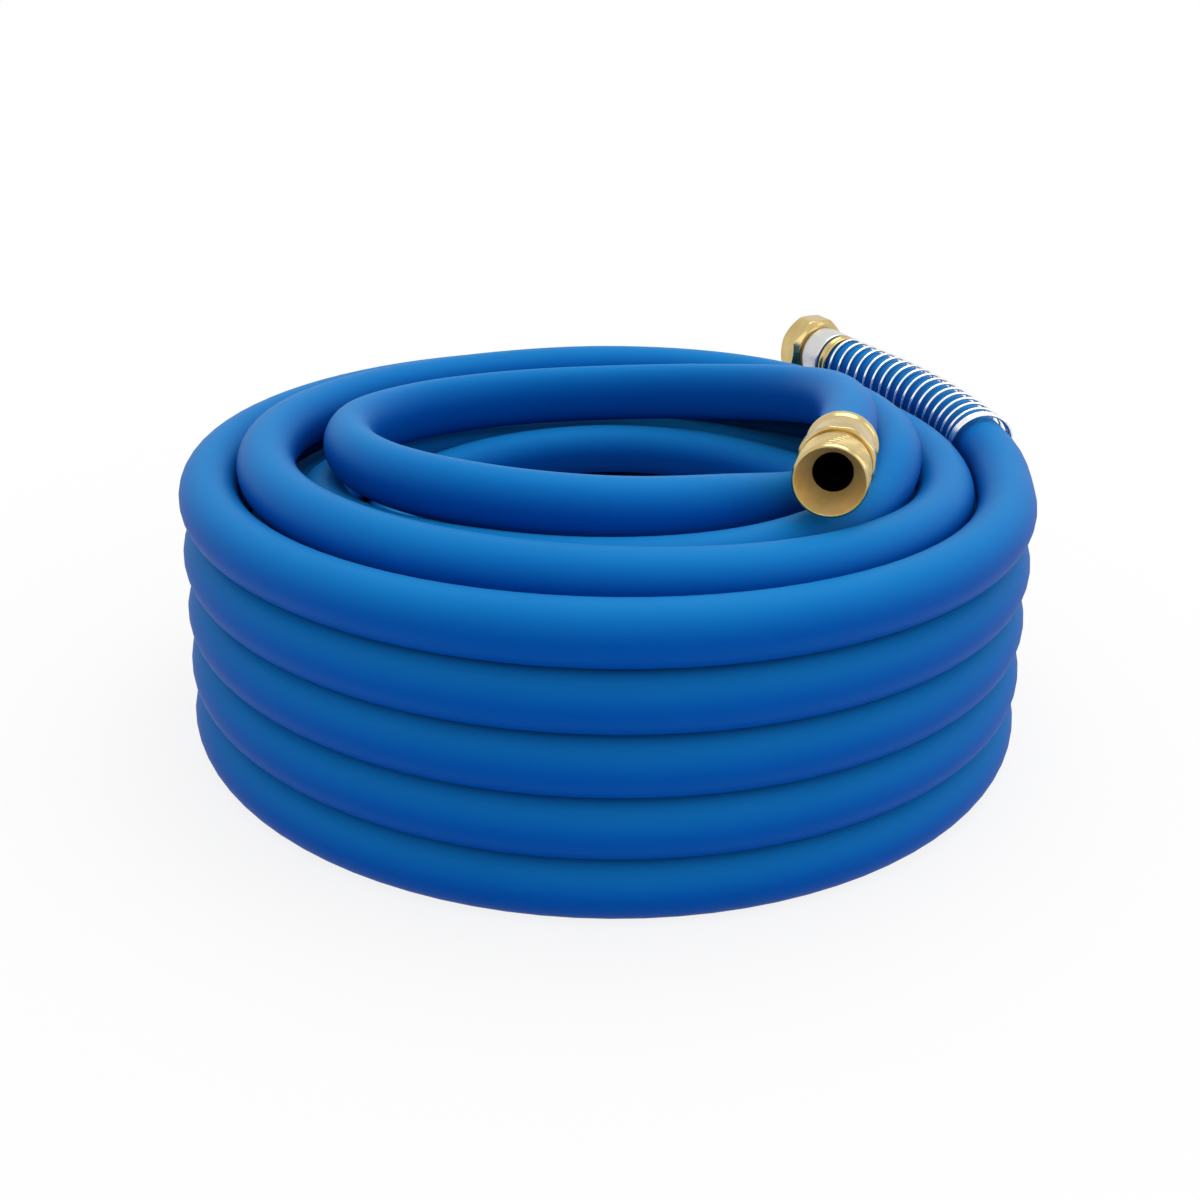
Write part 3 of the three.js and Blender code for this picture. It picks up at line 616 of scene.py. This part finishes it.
# Near black for the bore: painted shade.
BORE_PAINTED_SHADE = (0.012, 0.009, 0.006)
brass = Finish("machined_brass", Metallic=1.0)
tarnish_and_reflection_noise = brass.noise(70.0, 4.0)
grain = brass.noise(900.0, 2.0)
cutter_marks = brass.noise(1.0, 2.0, (5200.0, 12.0))
# Large blotches of darker brass: partly tarnish, partly painted reflection of dark surroundings.
stain_and_painted_reflection = (tarnish_and_reflection_noise * 2.4 - 0.7).clipped()
bore_painted_shade = brass.node("ShaderNodeAttribute", {"attribute_name": "bore_painted_shade"}, {}, "Fac")
in_mouth = brass.node("ShaderNodeAttribute", {"attribute_name": "in_mouth"}, {}, "Fac")
polished = brass.mixed(stain_and_painted_reflection, BRASS, BRASS_STAIN_AND_PAINTED_REFLECTION)
# Inside the mouth a brighter, less metallic brass: painted light.
mouth_painted_light = brass.mixed(stain_and_painted_reflection, MOUTH_PAINTED_LIGHT, MOUTH_PAINTED_LIGHT_STAIN_AND_REFLECTION)
# In the bore the brass turns near black: painted shade.
brass.set("Base Color", brass.mixed(bore_painted_shade, brass.mixed(in_mouth, polished, mouth_painted_light), BORE_PAINTED_SHADE))
brass.set("Metallic", 1.0 - 0.4 * in_mouth)
worn = 0.12 * tarnish_and_reflection_noise + 0.04 * grain
brass.set("Roughness", 0.15 + worn + 0.12 * in_mouth + 0.4 * bore_painted_shade)
brass.bumped(cutter_marks * 0.9 + grain * 0.1, 0.00003, 0.3)
brass.on(male_fitting)

# ---- Male ferrule ----
# A brass sleeve crimped over the hose behind the collar, with its edge rolled back
# into a round bead where the hose comes out.
ferrule_corners = [
    [8.5, -26.8, 0.1], [8.5, -29.0, 0.1], [11.55, -29.0, 0.2], [11.55, -42.0, 0.3],
    [12.9, -42.2, 0.6], [13.75, -41.3, 1.0], [13.75, -38.9, 1.2], [12.75, -37.4, 0.9],
    [12.75, -27.8, 0.7], [12.1, -26.8, 0.6],
]
male_ferrule = turned_piece(
    "male_sleeve", male_mouth, male_axis, ferrule_corners, "hose_body", "male_ferrule"
)
brass.on(male_ferrule)

# ---- Swivel nut ----
# An eight-sided brass nut with turned bevels and an inside hose thread. It spins
# freely on the stem, whose flange holds it by its back wall.
NUT_BACK = 2.7
NUT_FRONT = 16.2
NUT_FLATS = 31.4
NUT_THREAD_R = 12.7
NUT_BEVEL_R = 14.0
NUT_BLANK_R = 17.0
NUT_SEAT = NUT_BACK + 2.4
NUT_HOLE_R = 8.6


def nut_shape(radius, length, turn):
    """Flats bevelled at both ends on the outside, a thread on the inside."""
    cut = helix(length, turn, THREAD_PITCH, 0.9, 7.6, NUT_FRONT - 0.9)
    threaded = radius + np.where((radius > 12.0) & (radius < 13.2), cut, 0)
    from_end = np.minimum(length - NUT_BACK, NUT_FRONT - length)
    bevel = NUT_BEVEL_R + from_end * 1.15
    outside = rounded_least(flats_radius(turn, NUT_FLATS), bevel, 7)
    return np.where(radius > NUT_BEVEL_R + 0.2, outside, threaded)


nut_corners = [
    [NUT_HOLE_R, NUT_BACK, 0.2], [NUT_BEVEL_R, NUT_BACK, 0.2],
    [NUT_BLANK_R, NUT_BACK + 0.05, 0.0], [NUT_BLANK_R, NUT_FRONT - 0.05, 0.0],
    [NUT_BEVEL_R, NUT_FRONT, 0.2], [13.7, NUT_FRONT, 0.2],
    [NUT_THREAD_R, NUT_FRONT - 1.0, 0.2], [NUT_THREAD_R, NUT_SEAT, 0.3],
    [NUT_HOLE_R, NUT_SEAT, 0.2],
]
nut = turned_piece(
    "nut_shell", female_face, female_axis, nut_corners, "nut_body", "swivel_nut",
    nut_shape, longest=0.22, sides=192,
)
brass.on(nut)

# ---- Stem and washer ----
# The stem is a turned brass tail with a flange inside the nut and barbs inside the
# hose. A black rubber washer lies on the flange and seals against the tap's rim.
FLANGE_R, FLANGE_FRONT, FLANGE_BACK = 11.6, 7.3, 5.5
WASHER_IN_R, WASHER_OUT_R = 7.4, 12.2
WASHER_BACK, WASHER_FRONT = 7.6, 10.4
stem_corners = [
    [FLANGE_R, FLANGE_FRONT, 0.2], [FLANGE_R, FLANGE_BACK, 0.2], [SHOULDER_R, FLANGE_BACK, 0.2],
    *barbs(0.0)[1:], [TAIL_BORE_R, FLANGE_FRONT, 0.2],
]
stem = turned_piece(
    "stem_tail", female_face, female_axis, stem_corners, "hose_body", "female_stem"
)
brass.on(stem)
washer_corners = [
    [WASHER_IN_R, WASHER_BACK, 0.3], [WASHER_OUT_R, WASHER_BACK, 0.4],
    [WASHER_OUT_R, WASHER_FRONT, 0.5], [WASHER_IN_R, WASHER_FRONT, 0.5],
]
washer = turned_piece("seal", female_face, female_axis, washer_corners, "nut_body", "washer")

RUBBER_BLACK, RUBBER_DUSTY = (0.012, 0.012, 0.013), (0.03, 0.03, 0.032)
seal_rubber = Finish("black_seal_rubber", Roughness=0.6)
seal_dust = seal_rubber.noise(400.0, 4.0)
seal_rubber.set("Base Color", seal_rubber.mixed(seal_dust, RUBBER_BLACK, RUBBER_DUSTY))
seal_rubber.bumped(seal_dust, 0.00008, 0.3)
seal_rubber.on(washer)

# ---- Ridged ring ----
# A brass ring turned with two ridges, pressed on the hose between the sleeve and the
# guard, whose wire starts behind it.
ring_corners = [
    [11.5, -17.1, 0.2], [12.6, -17.1, 0.3], [12.95, -16.7, 0.4], [12.95, -15.6, 0.5],
    [12.25, -14.7, 0.4], [12.95, -13.8, 0.5], [12.95, -12.7, 0.4], [12.6, -12.3, 0.3],
    [11.5, -12.3, 0.2],
]
ridged_ring = turned_piece(
    "ridge_band", female_face, female_axis, ring_corners, "hose_body", "ridged_ring"
)
brass.on(ridged_ring)

# ---- Female sleeve ----
# A bright zinc-plated steel sleeve crimped over the hose and the stem's barbs. It is
# drawn from sheet, and its front edge is turned in behind the nut.
sleeve_corners = [
    [8.5, 2.4, 0.1], [8.5, 0.2, 0.1], [11.55, 0.2, 0.2], [11.55, -11.0, 0.2],
    [12.8, -11.0, 0.4], [13.1, -10.4, 0.5], [13.1, 0.9, 1.0], [11.9, 2.4, 0.9],
]
sleeve = turned_piece(
    "steel_sleeve", female_face, female_axis, sleeve_corners, "hose_body", "female_ferrule"
)
ZINC_DULL, ZINC_BRIGHT = (0.58, 0.58, 0.57), (0.68, 0.68, 0.67)
zinc = Finish("bright_zinc_plate", Metallic=1.0)
zinc_cloud = zinc.noise(120.0, 4.0)
rolled = zinc.noise(1.0, 2.0, (2500.0, 10.0))
zinc.set("Base Color", zinc.mixed(zinc_cloud, ZINC_DULL, ZINC_BRIGHT))
zinc.set("Roughness", 0.22 + 0.16 * zinc_cloud)
zinc.bumped(rolled, 0.00005, 0.4)
zinc.on(sleeve)

# ---- Table and light ----
# A pale seamless table under a wide soft lamp above, with weaker ones in front and at
# each side. Near the coil the table keeps its shadow, and farther off it turns white.
TABLE_REACH = 25.0
PAPER_GREY = (0.82, 0.82, 0.82)
WHITE_NEAR, WHITER_A_METRE = 0.74, 0.5
ROOM_LIGHT, ROOM_SEEN = 0.74, 1.0
LAMPS_FACE = np.array([0.0, 0.0, 0.07])
table_mesh = bpy.data.meshes.new("table_top")
corners = [(x * TABLE_REACH, y * TABLE_REACH, 0) for x, y in ((-1, -1), (1, -1), (1, 1), (-1, 1))]
table_mesh.from_pydata(corners, [], [(0, 1, 2, 3)])
table_top = bpy.data.objects.new("table_top", table_mesh)
bpy.context.scene.collection.objects.link(table_top)
paper = Finish("pale_paper", Roughness=0.9)
paper.set("Base Color", PAPER_GREY)
seen_directly = sum(
    paper.node("ShaderNodeLightPath", {}, {}, ray)
    for ray in ("Is Camera Ray", "Is Glossy Ray", "Is Transmission Ray")
)
floor_place = paper.node("ShaderNodeTexCoord", {}, {}, "Object")
from_coil = paper.node("ShaderNodeVectorMath", {"operation": "LENGTH"}, {0: floor_place}, "Value")
whiteness = (WHITE_NEAR + WHITER_A_METRE * from_coil).clipped()
glow = paper.node("ShaderNodeEmission", {}, {"Color": (1.0, 1.0, 1.0), "Strength": 1.0})
lit_paper = Field(paper, paper.shader.outputs[0])
layers = {0: seen_directly.clipped() * whiteness, 1: lit_paper, 2: glow}
shown = paper.node("ShaderNodeMixShader", {}, layers)
paper.tree.links.new(shown.socket, paper.tree.nodes["Material Output"].inputs["Surface"])
paper.on(table_top)

world = bpy.data.worlds.new("white_room")
bpy.context.scene.world = world
world.use_nodes = True
room = world.node_tree
sky = room.nodes["Background"]
sky.inputs["Color"].default_value = (1.0, 1.0, 1.0, 1.0)
path_node = room.nodes.new("ShaderNodeLightPath")
seen = path_node.outputs["Is Camera Ray"]
for ray in ("Is Glossy Ray", "Is Transmission Ray"):
    either = room.nodes.new("ShaderNodeMath")
    either.operation = "MAXIMUM"
    room.links.new(seen, either.inputs[0])
    room.links.new(path_node.outputs[ray], either.inputs[1])
    seen = either.outputs[0]
strength = room.nodes.new("ShaderNodeMapRange")
strength.inputs["To Min"].default_value = ROOM_LIGHT
strength.inputs["To Max"].default_value = ROOM_SEEN
room.links.new(seen, strength.inputs["Value"])
room.links.new(strength.outputs[0], sky.inputs["Strength"])


def soft_lamp(name, place, size, power):
    """A square area lamp of a size in metres, facing the middle of the coil."""
    data = bpy.data.lights.new(name, "AREA")
    data.shape = "SQUARE"
    data.size = size
    data.energy = power
    lamp = bpy.data.objects.new(name, data)
    bpy.context.scene.collection.objects.link(lamp)
    back = unit(np.array(place, float) - LAMPS_FACE)
    across = unit(np.cross([0.0, 1.0, 0.001], back))
    frame_of_lamp = np.eye(4)
    frame_of_lamp[:3, 0], frame_of_lamp[:3, 1] = across, np.cross(back, across)
    frame_of_lamp[:3, 2], frame_of_lamp[:3, 3] = back, place
    lamp.matrix_world = Matrix(frame_of_lamp.tolist())


soft_lamp("overhead", (0.2, 0.2, 1.3), 0.9, 6.8)
soft_lamp("left_side", (-1.3, -0.5, 0.7), 0.8, 1.0)
soft_lamp("right_side", (1.3, -0.3, 0.8), 0.8, 3.0)
soft_lamp("front", (0.1, -1.3, 0.75), 0.9, 1.8)

bpy.context.scene.view_settings.view_transform = "Standard"
